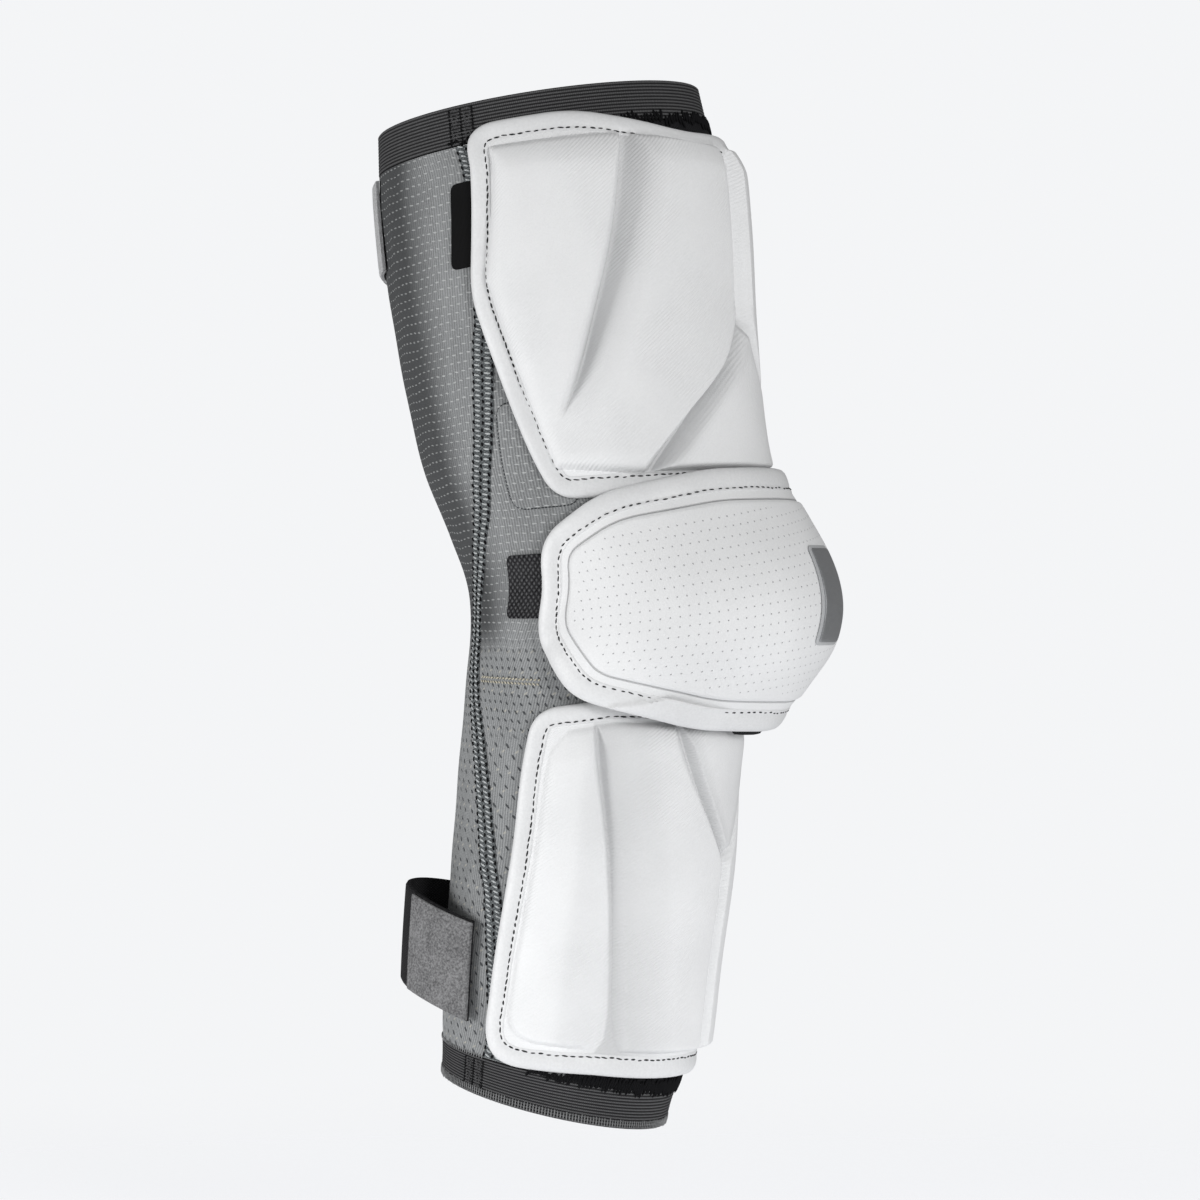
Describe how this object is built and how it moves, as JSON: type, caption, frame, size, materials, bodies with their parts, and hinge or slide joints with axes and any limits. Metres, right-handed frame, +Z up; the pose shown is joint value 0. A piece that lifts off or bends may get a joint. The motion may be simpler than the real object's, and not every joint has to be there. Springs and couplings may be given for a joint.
{
  "type": "lacrosse arm pad",
  "caption": "Slightly bent arm sleeve with moulded upper-arm and forearm caps, a domed elbow cap, elastic cuffs and straps.",
  "frame": {"origin": "inside the sleeve at the bend of the elbow, where the wearer's elbow sits", "axes": "+Z up the arm towards the shoulder, -Y towards the elbow's point and the front of the caps, +X towards the side without the tag"},
  "size_m": [0.1278, 0.1706, 0.366],
  "materials": {
    "grey_knit": "knitted mesh, matte",
    "black_backing": "matte backing cloth",
    "cuff_elastic": "ribbed elastic",
    "white_moulded_cap": "moulded synthetic leather over foam, fine grain",
    "white_perforated_cap": "perforated synthetic leather, fine grain",
    "white_binding": "rolled edge of smooth synthetic leather",
    "black_foam": "closed-cell foam under cloth",
    "pewter_badge": "pewter grey moulded badge",
    "light_loop_tape": "napped loop tape",
    "black_elastic": "flat elastic",
    "grey_hook_tape": "napped hook and loop tape",
    "black_webbing": "ribbed webbing",
    "black_tag": "woven tag, satin"
  },
  "bodies": {
    "root": {"sleeve": "grey_knit", "front_panel": "black_backing", "upper_cuff": "cuff_elastic", "lower_cuff": "cuff_elastic", "bicep_cap": "white_moulded_cap", "bicep_binding": "white_binding", "elbow_cap": "white_perforated_cap", "elbow_binding": "white_binding", "elbow_pad": "black_foam", "elbow_badge": "pewter_badge", "forearm_cap": "white_moulded_cap", "forearm_binding": "white_binding", "bicep_strap": "light_loop_tape", "forearm_strap": "black_elastic", "forearm_patch": "grey_hook_tape", "elbow_webbing_near": "black_webbing", "elbow_webbing_far": "black_webbing", "side_tag": "black_tag"}
  },
  "joints": []
}
